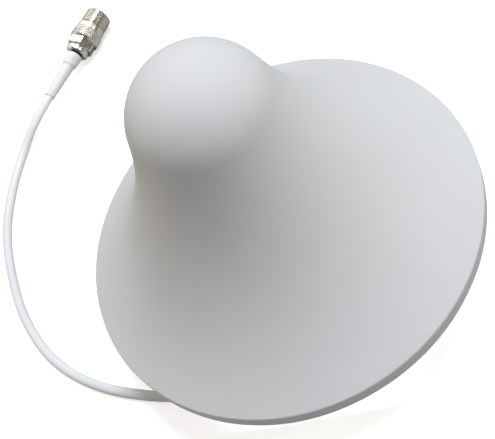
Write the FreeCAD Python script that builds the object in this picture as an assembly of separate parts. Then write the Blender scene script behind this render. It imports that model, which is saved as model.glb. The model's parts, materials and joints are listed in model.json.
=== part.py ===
import FreeCAD, Part
import math
import os

# Ceiling dome antenna of a cellular repeater, with its coaxial pigtail.  Millimetres.
# The axis of the dome is Z.  z = 0 is the back of the base, which seats on the ceiling,
# and the dome points to +Z.  The part stands on the end of its stem, at z = FLOOR_Z,
# and its cable lies at that level.

# ---- radome: a ball that runs into a concave flare and ends in a rim --------------------
RIM_RADIUS = 93.0
RIM_HEIGHT = 7.0            # height of the rim's side wall
RIM_EDGE_RADIUS = 1.0
BALL_RADIUS = 31.45
BALL_HEIGHT = 90.9          # centre of the ball
NECK_SLOPE = math.radians(13.9)     # where the ball turns into the flare, above its equator
WALL = 2.0
SKIRT_LIFT = 0.3            # the rim stays this far off the ceiling

# ---- base plate -----------------------------------------------------------------------
BASE_RADIUS = RIM_RADIUS - WALL - 0.3
BASE_THICKNESS = 2.5
RIB_TOP = 5.5
RIB_THICKNESS = 1.5
RIB_INNER_RADIUS = 25.0
RIB_OUTER_RADIUS = 68.0
RIB_COUNT = 6
RADOME_SCREW_CIRCLE = 80.0
RADOME_SCREW_COUNT = 4
RADOME_BOSS_RADIUS = 4.0
RADOME_BOSS_TOP = 15.0
RADOME_PILOT_TOP = 11.0
PILOT_RADIUS = 1.15         # hole for a 2.2 mm thread-forming screw
COUNTERSINK_RADIUS = 3.3
COUNTERSINK_DEPTH = 1.6
COUNTERSINK_SETBACK = 0.3   # the screws' heads stay below the ceiling face
CLEARANCE_HOLE_RADIUS = 1.7
PLATE_SCREW_CIRCLE = 60.0
PLATE_SCREW_COUNT = 3
PLATE_BOSS_RADIUS = 3.5

# ---- threaded stem, its nut and its washer -------------------------------------------------
STEM_RADIUS = 13.0
STEM_BORE_RADIUS = 9.5
FLOOR_Z = -30.0
STEM_FLANGE_RADIUS = 21.0
STEM_FLANGE_BOTTOM = BASE_THICKNESS + 0.05
STEM_FLANGE_TOP = 4.6
STEM_SCREW_CIRCLE = 17.2
STEM_SCREW_COUNT = 3
STEM_SCREW_HOLE_RADIUS = 1.4
STEM_PILOT_RADIUS = 1.05
STEM_PILOT_BOTTOM = 0.8
THREAD_CLEARANCE = 0.05     # the plain cylinders stand for the thread's major diameter
WASHER_TOP = -2.6
WASHER_THICKNESS = 1.6
WASHER_RADIUS = 23.0
NUT_TOP = WASHER_TOP - WASHER_THICKNESS - 0.1
NUT_THICKNESS = 8.0
NUT_RADIUS = 19.5
NUT_GRIP_RADIUS = 21.0
NUT_GRIP_COUNT = 12
NUT_GRIP_WIDTH = 4.0

# ---- cable notch in the end of the stem ---------------------------------------------------
CABLE_RADIUS = 2.5
CABLE_Z = FLOOR_Z + CABLE_RADIUS + 0.02
NOTCH_HALF_WIDTH = 4.2
GROMMET_HALF_BORE = CABLE_RADIUS + 0.1
GROMMET_LIP = 1.0           # how far its lips reach past the notch
GROMMET_LIP_THICKNESS = 0.8
GROMMET_INNER_LIP = 1.6     # thickness of the lip inside the bore
GROMMET_SKIRT = 2.5         # how deep the outside lip is buried in the stem's wall

# ---- ground plate and radiator ---------------------------------------------------------
SHEET = 0.8
GROUND_PLATE_BOTTOM = 6.0
GROUND_PLATE_THICKNESS = 1.0
GROUND_PLATE_TOP = GROUND_PLATE_BOTTOM + GROUND_PLATE_THICKNESS
GROUND_PLATE_RADIUS = 70.0
CONE_BOTTOM = 8.6
CONE_TOP = 50.0
CONE_TIP_RADIUS = 3.4
DRUM_RADIUS = 26.0
DRUM_TOP = 87.0
DRUM_FLANGE_RADIUS = 33.0
CAP_CROWN = 5.0
POST_CIRCLE = 29.6
POST_COUNT = 3
SUPPORT_POST_RADIUS = 2.6
SHORTING_POST_RADIUS = 1.6
POST_HOLE_RADIUS = 1.2
POST_PILOT_RADIUS = 0.9
POST_PILOT_DEPTH = 5.0
PLATE_SCREW_HOLE_RADIUS = 1.6
FEED_HOLE_RADIUS = 4.05
CAP_LIP = 3.0

# ---- coaxial cable layers, from the outside in -------------------------------------------
LAYER_GAP = 0.05
JACKET_INNER_RADIUS = 1.85
BRAID_INNER_RADIUS = 1.5
CONDUCTOR_RADIUS = 0.45
INNER_BEND_RADIUS = 8.0
JACKET_TOP = -1.0
FERRULE_TOP = GROUND_PLATE_BOTTOM
FERRULE_RADIUS = 3.2
FERRULE_FLANGE_RADIUS = 7.0
FEED_TOP = 12.0
FEED_PIN_RADIUS = 2.05
FEED_PIN_HEAD_RADIUS = 2.9
FEED_PIN_TIP_RADIUS = 1.4
INSULATOR_NECK_RADIUS = 4.0
INSULATOR_RADIUS = 6.5

# ---- coaxial jack on the end of the cable: it lies along +Y --------------------------------
JACK_X = -197.0
JACK_Z = FLOOR_Z + 9.0
SLEEVE_TAIL_Y = 51.2
# stations along the jack, from the tail of its first sleeve
TAPER_SLEEVE_END = 25.6
WIDE_SLEEVE_START = 23.2
WIDE_SLEEVE_END = 31.0
BACK_RING_START = 32.2
HEX_START = 36.2
KNURL_START = 41.6
NECK_START = 48.4
THREAD_START = 52.0
JACK_END = 62.1
TAPER_SLEEVE_RADII = (2.95, 3.65)
WIDE_SLEEVE_RADII = (4.3, 4.85)
BACK_RING_RADII = (6.1, 6.8)     # its groove and its rim
HEX_ACROSS_FLATS = 15.0
HEX_TURN = 3.3              # degrees, from the jack's side to a corner of the hexagon
KNURL_RADIUS = 9.0
NECK_RADIUS = 8.2
THREAD_RADIUS = 7.94        # 5/8-24 UNEF, the usual radio-frequency jack thread
JACK_STUB_RADIUS = 6.0
SOCKET_RADIUS = 4.3
SOCKET_DEPTH = 9.0
CONTACT_RADIUS = 1.5
CONTACT_BORE_RADIUS = 0.85
CONTACT_BORE_DEPTH = 5.0
CONTACT_SAW_WIDTH = 0.3
CONTACT_SETBACK = 2.0       # the contact ends this far inside the jack's mouth
BACK_RING_BORE = 2.55
BACK_RING_CHAMFER = 0.7
BACK_GROOVE_START = 35.3
MOUTH_CHAMFER = 0.9
THREAD_CHAMFER = 0.8
CONTACT_CUP_DEPTH = 3.2
CONDUCTOR_STRIP = 6.6       # bare conductor that reaches into the contact's solder cup

# ---- route of the free cable, from the notch to the first sleeve --------------------------
# It runs out of the notch, turns under the disc, and comes back in one wide arc to the jack,
# whose axis is higher than the cable on the floor.
CABLE_ROUTE = [
    (0.0, -STEM_RADIUS - GROMMET_LIP_THICKNESS, CABLE_Z),
    (0.0, -45.0, CABLE_Z),
    (-15.0, -78.5, CABLE_Z),
    (-36.0, -88.0, CABLE_Z),
    (-71.0, -95.0, CABLE_Z),
    (-104.0, -91.3, CABLE_Z),
    (-132.5, -77.3, CABLE_Z),
    (-155.0, -59.0, CABLE_Z),
    (-177.3, -35.0, CABLE_Z),
    (-191.0, -8.0, CABLE_Z),
    (-198.0, 14.0, CABLE_Z),
    (JACK_X, 34.0, JACK_Z),
    (JACK_X, SLEEVE_TAIL_Y, JACK_Z),
]
ARC_SHARE = 0.45            # of the shorter run, taken by the arc at a corner

FIT = 0.05                  # clearance between turned parts that sit inside each other
OVER = 1.0                  # how far a cutting tool reaches past what it cuts
ABOVE = 100.0               # beyond every piece
Z_AXIS = FreeCAD.Vector(0, 0, 1)
ORIGIN = FreeCAD.Vector(0, 0, 0)


# ---- helpers --------------------------------------------------------------------------

def save(name, *solids):
    """Write one node; several solids make a group of loose pieces."""
    shape = solids[0] if len(solids) == 1 else Part.makeCompound(list(solids))
    shape.exportStep("parts/" + name + ".step")
    print(name, "solids", len(shape.Solids), "volume", round(shape.Volume, 1))


def spin(start, *steps):
    """Revolve a closed outline of (radius, height) points about Z.

    A step is the next point, or a pair (point on the arc, next point) for an arc."""
    def at(point):
        return FreeCAD.Vector(point[0], 0, point[1])
    edges = []
    here = start
    for step in steps:
        if isinstance(step[0], tuple):
            edges.append(Part.Arc(at(here), at(step[0]), at(step[1])).toShape())
            here = step[1]
        else:
            edges.append(Part.LineSegment(at(here), at(step)).toShape())
            here = step
    edges.append(Part.LineSegment(at(here), at(start)).toShape())
    face = Part.Face(Part.Wire(edges))
    return face.revolve(ORIGIN, Z_AXIS, 360)


def rod(radius, bottom, top, x=0.0, y=0.0):
    return Part.makeCylinder(radius, top - bottom, FreeCAD.Vector(x, y, bottom))


def tube(outer, inner, bottom, top):
    return rod(outer, bottom, top).cut(rod(inner, bottom - OVER, top + OVER))


def around(count, radius, first_angle=0.0):
    """Centres evenly spaced on a circle, each with its angle in degrees."""
    for number in range(count):
        angle = first_angle + 360.0 * number / count
        turn = math.radians(angle)
        yield radius * math.cos(turn), radius * math.sin(turn), angle


def screw(radius, head_radius, head_height, head_z, length, up, x, y):
    """A pan-head screw: its head rests at head_z and its shank runs up or down from there."""
    tip = head_z + length if up else head_z - length
    shank = rod(radius, min(head_z, tip), max(head_z, tip), x, y)
    head_bottom = head_z - head_height if up else head_z
    head = rod(head_radius, head_bottom, head_bottom + head_height, x, y)
    slot = Part.makeBox(2 * head_radius, 0.5, 0.6)
    slot_bottom = head_bottom - 0.1 if up else head_bottom + head_height - 0.5
    slot.translate(FreeCAD.Vector(x - head_radius, y - 0.25, slot_bottom))
    return shank.fuse(head).cut(slot).removeSplitter()


def path_wire(points, radii=None):
    """Straight runs joined by tangent arcs; returns the wire and the arcs' radii."""
    vectors = [FreeCAD.Vector(*point) for point in points]
    edges = []
    used_radii = []
    here = vectors[0]
    for number in range(1, len(vectors) - 1):
        corner = vectors[number]
        back = vectors[number - 1] - corner
        ahead = vectors[number + 1] - corner
        turn = math.pi - back.getAngle(ahead)
        if radii:
            radius = radii[number - 1]
        else:
            radius = ARC_SHARE * min(back.Length, ahead.Length) / math.tan(turn / 2)
        reach = radius * math.tan(turn / 2)
        back.normalize()
        ahead.normalize()
        first = corner + back * reach
        last = corner + ahead * reach
        inward = (back + ahead).normalize()
        middle = corner + inward * (radius / math.cos(turn / 2) - radius)
        edges.append(Part.LineSegment(here, first).toShape())
        edges.append(Part.Arc(first, middle, last).toShape())
        used_radii.append(radius)
        here = last
    edges.append(Part.LineSegment(here, vectors[-1]).toShape())
    return Part.Wire(edges), used_radii


def sweep(wire, radius):
    """A round solid along a wire."""
    start = wire.Edges[0].valueAt(wire.Edges[0].FirstParameter)
    direction = wire.Edges[0].tangentAt(wire.Edges[0].FirstParameter)
    section = Part.Wire([Part.Circle(start, direction, radius).toShape()])
    return wire.makePipeShell([section], True, False)


def lay_along_jack(shape):
    """Move a shape made along Z, with z = 0 at the first sleeve's tail, onto the jack's axis."""
    shape = shape.copy()
    shape.rotate(ORIGIN, FreeCAD.Vector(1, 0, 0), -90)
    shape.translate(FreeCAD.Vector(JACK_X, SLEEVE_TAIL_Y, JACK_Z))
    return shape


# ---- radome ---------------------------------------------------------------------------

def flare_centre():
    """Centre and radius of the flare's arc: tangent to the ball, ending at the rim."""
    out_r = math.cos(NECK_SLOPE)
    out_z = math.sin(NECK_SLOPE)
    neck_r = BALL_RADIUS * out_r
    neck_z = BALL_HEIGHT + BALL_RADIUS * out_z
    run_r = RIM_RADIUS - neck_r
    run_z = RIM_HEIGHT - neck_z
    radius = (run_r ** 2 + run_z ** 2) / (2 * (run_r * out_r + run_z * out_z))
    return neck_r + radius * out_r, neck_z + radius * out_z, radius


def bell(inset, rim_radius, bottom):
    """The solid under the radome's surface, moved inwards by inset."""
    centre_r, centre_z, flare_radius = flare_centre()
    ball = BALL_RADIUS - inset
    flare = flare_radius + inset
    rim_turn = math.acos((centre_r - rim_radius) / flare)

    def on_ball(turn):
        return ball * math.cos(turn), BALL_HEIGHT + ball * math.sin(turn)

    def on_flare(turn):
        return centre_r - flare * math.cos(turn), centre_z - flare * math.sin(turn)

    return spin(
        (0.0, bottom),
        (rim_radius, bottom),
        on_flare(rim_turn),
        (on_flare((rim_turn + NECK_SLOPE) / 2), on_flare(NECK_SLOPE)),
        (on_ball((NECK_SLOPE + math.pi / 2) / 2), (0.0, BALL_HEIGHT + ball)),
    )


def make_radome():
    outside = bell(0.0, RIM_RADIUS, SKIRT_LIFT)
    rim_edges = [edge for edge in outside.Edges
                 if abs(edge.BoundBox.ZMax - RIM_HEIGHT) < 0.01
                 and abs(edge.BoundBox.ZMin - RIM_HEIGHT) < 0.01]
    outside = outside.makeFillet(RIM_EDGE_RADIUS, rim_edges)
    shell = outside.cut(bell(WALL, RIM_RADIUS - WALL, -OVER))
    for x, y, _ in around(RADOME_SCREW_COUNT, RADOME_SCREW_CIRCLE, 45.0):
        boss = rod(RADOME_BOSS_RADIUS, BASE_THICKNESS + 0.1, RADOME_BOSS_TOP, x, y)
        shell = shell.fuse(boss.common(outside))
        shell = shell.cut(rod(PILOT_RADIUS, 0.0, RADOME_PILOT_TOP, x, y))
    save("radome", shell.removeSplitter())


# ---- base, stem and mounting hardware ------------------------------------------------------

def make_base_plate():
    above = BASE_THICKNESS + OVER
    root = BASE_THICKNESS - 0.5         # ribs and bosses grow out of the plate from here
    pilot_bottom = BASE_THICKNESS / 2
    plate = rod(BASE_RADIUS, 0.0, BASE_THICKNESS)
    for _, _, angle in around(RIB_COUNT, RIB_INNER_RADIUS, 30.0):
        rib = Part.makeBox(RIB_OUTER_RADIUS - RIB_INNER_RADIUS, RIB_THICKNESS, RIB_TOP - root)
        rib.translate(FreeCAD.Vector(RIB_INNER_RADIUS, -RIB_THICKNESS / 2, root))
        rib.rotate(ORIGIN, Z_AXIS, angle)
        plate = plate.fuse(rib)
    for radius in (RIB_INNER_RADIUS, RIB_OUTER_RADIUS):
        plate = plate.fuse(tube(radius + RIB_THICKNESS / 2, radius - RIB_THICKNESS / 2,
                                root, RIB_TOP))
    for x, y, _ in around(PLATE_SCREW_COUNT, PLATE_SCREW_CIRCLE, 30.0):
        plate = plate.fuse(rod(PLATE_BOSS_RADIUS, root, GROUND_PLATE_BOTTOM, x, y))
        plate = plate.cut(rod(PILOT_RADIUS, pilot_bottom, GROUND_PLATE_TOP, x, y))
    plate = plate.cut(rod(STEM_RADIUS + 0.2, -OVER, above))
    for x, y, _ in around(STEM_SCREW_COUNT, STEM_SCREW_CIRCLE):
        plate = plate.cut(rod(STEM_PILOT_RADIUS, STEM_PILOT_BOTTOM, above, x, y))
    for x, y, _ in around(RADOME_SCREW_COUNT, RADOME_SCREW_CIRCLE, 45.0):
        sink = Part.makeCone(COUNTERSINK_RADIUS, CLEARANCE_HOLE_RADIUS, COUNTERSINK_DEPTH,
                             FreeCAD.Vector(x, y, COUNTERSINK_SETBACK))
        plate = plate.cut(rod(CLEARANCE_HOLE_RADIUS, -OVER, above, x, y))
        plate = plate.cut(sink).cut(rod(COUNTERSINK_RADIUS, -OVER, COUNTERSINK_SETBACK, x, y))
    save("base_plate", plate.removeSplitter())


def make_radome_screws():
    """Four countersunk screws with a cross recess; their tips are up inside the bosses."""
    head_radius = COUNTERSINK_RADIUS - 0.2
    neck_radius = CLEARANCE_HOLE_RADIUS - 0.25
    head_z = COUNTERSINK_SETBACK + FIT
    recess_length = 3.2
    recess_width = 0.6
    screws = []
    for x, y, _ in around(RADOME_SCREW_COUNT, RADOME_SCREW_CIRCLE, 45.0):
        head = Part.makeCone(head_radius, neck_radius, COUNTERSINK_DEPTH + FIT,
                             FreeCAD.Vector(x, y, head_z))
        body = head.fuse(rod(PILOT_RADIUS - FIT, 1.0, RADOME_PILOT_TOP - 1.5, x, y))
        for turn in (0, 90):
            arm = Part.makeBox(recess_length, recess_width, 1.0)
            arm.translate(FreeCAD.Vector(-recess_length / 2, -recess_width / 2, 0.0))
            arm.rotate(ORIGIN, Z_AXIS, turn)
            arm.translate(FreeCAD.Vector(x, y, head_z - 0.1))
            body = body.cut(arm)
        screws.append(body.removeSplitter())
    save("radome_screws", *screws)


def notch(half_width, near, far):
    """An arch-topped slot across the -Y wall of the stem, open at its end."""
    top = Part.makeCylinder(half_width, far - near, FreeCAD.Vector(0, -far, CABLE_Z),
                            FreeCAD.Vector(0, 1, 0))
    below = Part.makeBox(2 * half_width, far - near, 20.0)
    below.translate(FreeCAD.Vector(-half_width, -far, CABLE_Z - 20.0))
    return top.fuse(below).removeSplitter()


def make_threaded_stem():
    stem = rod(STEM_RADIUS, FLOOR_Z, STEM_FLANGE_TOP)
    stem = stem.fuse(rod(STEM_FLANGE_RADIUS, STEM_FLANGE_BOTTOM, STEM_FLANGE_TOP))
    stem = stem.cut(rod(STEM_BORE_RADIUS, FLOOR_Z - OVER, STEM_FLANGE_TOP + OVER))
    stem = stem.cut(notch(NOTCH_HALF_WIDTH + 0.1, STEM_BORE_RADIUS / 2, STEM_RADIUS + OVER))
    for x, y, _ in around(STEM_SCREW_COUNT, STEM_SCREW_CIRCLE):
        stem = stem.cut(rod(STEM_SCREW_HOLE_RADIUS, 0.0, STEM_FLANGE_TOP + OVER, x, y))
    save("threaded_stem", stem.removeSplitter())
    screws = [screw(1.0, 2.2, 1.3, STEM_FLANGE_TOP + 0.02, 3.6, False, x, y)
              for x, y, _ in around(STEM_SCREW_COUNT, STEM_SCREW_CIRCLE)]
    save("stem_screws", *screws)


def make_cable_grommet():
    """A rubber arch that lines the notch, with a lip inside and outside the stem's wall."""
    inner_face = STEM_BORE_RADIUS - GROMMET_INNER_LIP
    outer_face = STEM_RADIUS + GROMMET_LIP_THICKNESS
    inside_lip = notch(NOTCH_HALF_WIDTH + GROMMET_LIP, inner_face, STEM_BORE_RADIUS)
    inside_lip = inside_lip.common(rod(STEM_BORE_RADIUS - 0.1, FLOOR_Z, 0.0))
    lining = notch(NOTCH_HALF_WIDTH, inner_face, STEM_RADIUS + 0.1)
    outside_lip = notch(NOTCH_HALF_WIDTH + GROMMET_LIP, STEM_RADIUS - GROMMET_SKIRT, outer_face)
    outside_lip = outside_lip.cut(rod(STEM_RADIUS + 0.02, FLOOR_Z - OVER, 0.0))
    body = lining.fuse(inside_lip).fuse(outside_lip)
    body = body.cut(notch(GROMMET_HALF_BORE, 0.0, outer_face + OVER))
    body = body.common(rod(outer_face + OVER, FLOOR_Z + 0.02, 0.0))
    save("cable_grommet", body.removeSplitter())


def make_mounting_hardware():
    bore = STEM_RADIUS + THREAD_CLEARANCE
    washer_bottom = WASHER_TOP - WASHER_THICKNESS
    save("mounting_washer", tube(WASHER_RADIUS, bore, washer_bottom, WASHER_TOP))
    nut_bottom = NUT_TOP - NUT_THICKNESS
    nut = rod(NUT_RADIUS, nut_bottom, NUT_TOP)
    reach = NUT_GRIP_RADIUS - NUT_RADIUS + 2.0
    for _, _, angle in around(NUT_GRIP_COUNT, NUT_RADIUS):
        grip = Part.makeBox(reach, NUT_GRIP_WIDTH, NUT_THICKNESS)
        grip.translate(FreeCAD.Vector(NUT_GRIP_RADIUS - reach, -NUT_GRIP_WIDTH / 2, nut_bottom))
        grip.rotate(ORIGIN, Z_AXIS, angle)
        nut = nut.fuse(grip)
    nut = nut.common(rod(NUT_GRIP_RADIUS, nut_bottom, NUT_TOP))
    nut = nut.cut(rod(bore, nut_bottom - OVER, NUT_TOP + OVER))
    save("mounting_nut", nut.removeSplitter())


# ---- ground plate, radiator and posts ----------------------------------------------------

def make_ground_plate():
    plate = rod(GROUND_PLATE_RADIUS, GROUND_PLATE_BOTTOM, GROUND_PLATE_TOP)
    plate = plate.cut(rod(FEED_HOLE_RADIUS, 0.0, ABOVE))
    for x, y, _ in around(PLATE_SCREW_COUNT, PLATE_SCREW_CIRCLE, 30.0):
        plate = plate.cut(rod(PLATE_SCREW_HOLE_RADIUS, 0.0, ABOVE, x, y))
    for x, y, _ in around(2 * POST_COUNT, POST_CIRCLE):
        plate = plate.cut(rod(POST_HOLE_RADIUS, 0.0, ABOVE, x, y))
    save("ground_plate", plate)
    screws = [screw(1.1, 2.6, 1.5, GROUND_PLATE_TOP + 0.02, 5.0, False, x, y)
              for x, y, _ in around(PLATE_SCREW_COUNT, PLATE_SCREW_CIRCLE, 30.0)]
    save("ground_plate_screws", *screws)


def make_radiator():
    hole = FEED_PIN_RADIUS + FIT
    cone = spin(
        (hole, CONE_BOTTOM),
        (CONE_TIP_RADIUS, CONE_BOTTOM),
        (DRUM_RADIUS, CONE_TOP),
        (DRUM_FLANGE_RADIUS, CONE_TOP),
        (DRUM_FLANGE_RADIUS, CONE_TOP + SHEET),
        (DRUM_RADIUS - SHEET / 2, CONE_TOP + SHEET),
        (CONE_TIP_RADIUS - SHEET / 2, CONE_BOTTOM + SHEET),
        (hole, CONE_BOTTOM + SHEET),
    )
    seam = CONE_TOP + SHEET
    drum = spin(
        (DRUM_RADIUS - SHEET, seam),
        (DRUM_FLANGE_RADIUS, seam),
        (DRUM_FLANGE_RADIUS, seam + SHEET),
        (DRUM_RADIUS, seam + SHEET),
        (DRUM_RADIUS, DRUM_TOP),
        (DRUM_RADIUS - SHEET, DRUM_TOP),
    )
    holes = [rod(POST_HOLE_RADIUS, CONE_TOP - OVER, seam + SHEET + OVER, x, y)
             for x, y, _ in around(2 * POST_COUNT, POST_CIRCLE)]
    save("radiator_cone", cone.cut(Part.makeCompound(holes)))
    save("radiator_drum", drum.cut(Part.makeCompound(holes)))
    save("radiator_cap", make_crowned_cap())


def make_crowned_cap():
    """A lid with a spherical crown and a lip that fits inside the drum."""
    lip_outer = DRUM_RADIUS - SHEET - FIT
    lip_inner = lip_outer - SHEET
    edge_z = DRUM_TOP + SHEET
    crown = (DRUM_RADIUS ** 2 + CAP_CROWN ** 2) / (2 * CAP_CROWN)
    centre_z = edge_z + CAP_CROWN - crown

    def on_crown(radius, r):
        return r, centre_z + math.sqrt(radius ** 2 - r ** 2)

    under = crown - SHEET
    return spin(
        on_crown(under, 0.0),
        (on_crown(under, lip_inner / 2), on_crown(under, lip_inner)),
        (lip_inner, DRUM_TOP - CAP_LIP),
        (lip_outer, DRUM_TOP - CAP_LIP),
        (lip_outer, DRUM_TOP + 0.02),
        (DRUM_RADIUS, DRUM_TOP + 0.02),
        (DRUM_RADIUS, edge_z),
        (on_crown(crown, DRUM_RADIUS / 2), on_crown(crown, 0.0)),
    )


def make_posts():
    bottom = GROUND_PLATE_TOP
    top = CONE_TOP
    groups = (("support_posts", SUPPORT_POST_RADIUS, 0.0),
              ("shorting_posts", SHORTING_POST_RADIUS, 60.0))
    for name, radius, first_angle in groups:
        posts = []
        for x, y, _ in around(POST_COUNT, POST_CIRCLE, first_angle):
            post = rod(radius, bottom, top, x, y)
            post = post.cut(rod(POST_PILOT_RADIUS, bottom - OVER, bottom + POST_PILOT_DEPTH, x, y))
            post = post.cut(rod(POST_PILOT_RADIUS, top - POST_PILOT_DEPTH, top + OVER, x, y))
            posts.append(post)
        save(name, *posts)
    screws = []
    for x, y, _ in around(2 * POST_COUNT, POST_CIRCLE):
        screws.append(screw(0.85, 1.9, 1.2, GROUND_PLATE_BOTTOM - 0.02, 5.0, True, x, y))
        screws.append(screw(0.85, 1.9, 1.2, CONE_TOP + 2 * SHEET + 0.02, 5.0, False, x, y))
    save("post_screws", *screws)


# ---- cable inside the stem, and the feed --------------------------------------------------

def make_inner_cable():
    jacket = CABLE_RADIUS
    start = -CABLE_ROUTE[0][1]
    layers = (
        ("inner_cable_jacket", jacket, JACKET_INNER_RADIUS, JACKET_TOP),
        ("inner_cable_braid", JACKET_INNER_RADIUS - LAYER_GAP, BRAID_INNER_RADIUS,
         FERRULE_TOP - 1.0),
        ("inner_cable_dielectric", BRAID_INNER_RADIUS - LAYER_GAP,
         CONDUCTOR_RADIUS + LAYER_GAP, GROUND_PLATE_TOP + 1.0),
        ("inner_cable_conductor", CONDUCTOR_RADIUS, 0.0, FEED_TOP - 0.5),
    )
    for name, outer, inner, top in layers:
        corners = [(0.0, -start, CABLE_Z), (0.0, 0.0, CABLE_Z), (0.0, 0.0, top)]
        wire, _ = path_wire(corners, [INNER_BEND_RADIUS])
        solid = sweep(wire, outer)
        if inner:
            solid = solid.cut(sweep(wire, inner))
        save(name, solid)


def make_feed():
    ferrule = spin(
        (JACKET_INNER_RADIUS, JACKET_TOP + FIT),
        (FERRULE_RADIUS, JACKET_TOP + FIT),
        (FERRULE_RADIUS, FERRULE_TOP - SHEET),
        (FERRULE_FLANGE_RADIUS, FERRULE_TOP - SHEET),
        (FERRULE_FLANGE_RADIUS, FERRULE_TOP - 0.02),
        (JACKET_INNER_RADIUS, FERRULE_TOP - 0.02),
    )
    save("feed_ferrule", ferrule)
    insulator = tube(INSULATOR_NECK_RADIUS, BRAID_INNER_RADIUS, FERRULE_TOP, GROUND_PLATE_TOP)
    flange = tube(INSULATOR_RADIUS, BRAID_INNER_RADIUS, GROUND_PLATE_TOP, CONE_BOTTOM)
    insulator = insulator.fuse(flange)
    save("feed_insulator", insulator.removeSplitter())
    pin = spin(
        (CONDUCTOR_RADIUS + LAYER_GAP, CONE_BOTTOM),
        (FEED_PIN_RADIUS, CONE_BOTTOM),
        (FEED_PIN_RADIUS, CONE_BOTTOM + SHEET + 0.02),
        (FEED_PIN_HEAD_RADIUS, CONE_BOTTOM + SHEET + 0.02),
        (FEED_PIN_TIP_RADIUS, FEED_TOP),
        (CONDUCTOR_RADIUS + LAYER_GAP, FEED_TOP),
    )
    save("feed_pin", pin)


# ---- free cable --------------------------------------------------------------------------

def make_signal_cord():
    wire, radii = path_wire(CABLE_ROUTE)
    cord = sweep(wire, CABLE_RADIUS)
    ideal = math.pi * CABLE_RADIUS ** 2 * wire.Length
    print("cord radii", [round(radius, 1) for radius in radii])
    print("cord length", round(wire.Length, 1), "volume ratio", round(cord.Volume / ideal, 4))
    save("signal_cord", cord)


# ---- sleeves and jack ------------------------------------------------------------------------

def make_sleeves():
    tail, front = TAPER_SLEEVE_RADII
    bore = CABLE_RADIUS + FIT
    taper = spin(
        (bore, 0.0),
        (tail, 0.0),
        (front, WIDE_SLEEVE_START),
        (front, TAPER_SLEEVE_END),
        (bore, TAPER_SLEEVE_END),
    )
    save("taper_sleeve", lay_along_jack(taper))
    tail, shoulder = WIDE_SLEEVE_RADII
    wide = spin(
        (front + FIT, WIDE_SLEEVE_START),
        (tail, WIDE_SLEEVE_START),
        (shoulder, WIDE_SLEEVE_END),
        (front + FIT, WIDE_SLEEVE_END),
    )
    save("wide_sleeve", lay_along_jack(wide))
    ferrule = tube(front - FIT, bore, TAPER_SLEEVE_END + 0.2, BACK_RING_START)
    save("crimp_ferrule", lay_along_jack(ferrule))


def make_cord_end():
    """The end of the cable inside the sleeves and the jack."""
    strip = TAPER_SLEEVE_END + 1.5
    bare = HEX_START + 2.0
    jacket = tube(CABLE_RADIUS, JACKET_INNER_RADIUS, 0.0, strip)
    braid = tube(JACKET_INNER_RADIUS - LAYER_GAP, BRAID_INNER_RADIUS, 0.0, strip)
    dielectric = tube(BRAID_INNER_RADIUS - LAYER_GAP, CONDUCTOR_RADIUS + LAYER_GAP, 0.0, bare)
    conductor = rod(CONDUCTOR_RADIUS, 0.0, bare + CONDUCTOR_STRIP)
    layers = (("cord_end_jacket", jacket), ("cord_end_braid", braid),
              ("cord_end_dielectric", dielectric), ("cord_end_conductor", conductor))
    for name, solid in layers:
        save(name, lay_along_jack(solid))


def make_jack_rings():
    groove, rim = BACK_RING_RADII
    bore = JACK_STUB_RADIUS + FIT
    back = spin(
        (BACK_RING_BORE, BACK_RING_START),
        (groove, BACK_RING_START),
        (rim, BACK_RING_START + BACK_RING_CHAMFER),
        (rim, BACK_GROOVE_START),
        (groove, BACK_GROOVE_START),
        (groove, HEX_START),
        (BACK_RING_BORE, HEX_START),
    )
    save("jack_back_ring", lay_along_jack(back))

    corner = HEX_ACROSS_FLATS / 2 / math.cos(math.pi / 6)
    points = [FreeCAD.Vector(x, y, HEX_START) for x, y, _ in around(6, corner, HEX_TURN)]
    prism = Part.Face(Part.makePolygon(points + points[:1])).extrude(
        FreeCAD.Vector(0, 0, KNURL_START - HEX_START))
    chamfer = spin(
        (0.0, HEX_START),
        (corner - 0.7, HEX_START),
        (corner + 0.1, HEX_START + 1.0),
        (corner + 0.1, KNURL_START - 0.6),
        (corner - 0.4, KNURL_START),
        (0.0, KNURL_START),
    )
    nut = prism.common(chamfer).cut(rod(bore, 0.0, ABOVE))
    save("jack_hex_nut", lay_along_jack(nut))

    edge = 0.5
    knurl = spin(
        (bore, KNURL_START),
        (KNURL_RADIUS - edge, KNURL_START),
        (KNURL_RADIUS, KNURL_START + edge),
        (KNURL_RADIUS, NECK_START - edge),
        (KNURL_RADIUS - edge, NECK_START),
        (bore, NECK_START),
    )
    save("jack_knurled_ring", lay_along_jack(knurl))


def make_jack_shell():
    """The threaded body: thread, neck, the spigot that carries the rings, and the socket."""
    socket_floor = JACK_END - SOCKET_DEPTH
    tail_radius = BACK_RING_BORE - FIT
    shell = spin(
        (BRAID_INNER_RADIUS, BACK_RING_START + 0.2),
        (tail_radius, BACK_RING_START + 0.2),
        (tail_radius, HEX_START + 0.02),
        (JACK_STUB_RADIUS, HEX_START + 0.02),
        (JACK_STUB_RADIUS, NECK_START + 0.02),
        (NECK_RADIUS, NECK_START + 0.02),
        (NECK_RADIUS, THREAD_START),
        (THREAD_RADIUS, THREAD_START),
        (THREAD_RADIUS, JACK_END - THREAD_CHAMFER),
        (THREAD_RADIUS - THREAD_CHAMFER, JACK_END),
        (SOCKET_RADIUS + MOUTH_CHAMFER, JACK_END),
        (SOCKET_RADIUS, JACK_END - MOUTH_CHAMFER),
        (SOCKET_RADIUS, KNURL_START),
        (BRAID_INNER_RADIUS, KNURL_START),
    )
    save("jack_shell", lay_along_jack(shell))
    insulator = tube(SOCKET_RADIUS - FIT, CONTACT_RADIUS + FIT, KNURL_START + FIT, socket_floor)
    save("jack_insulator", lay_along_jack(insulator))


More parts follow.
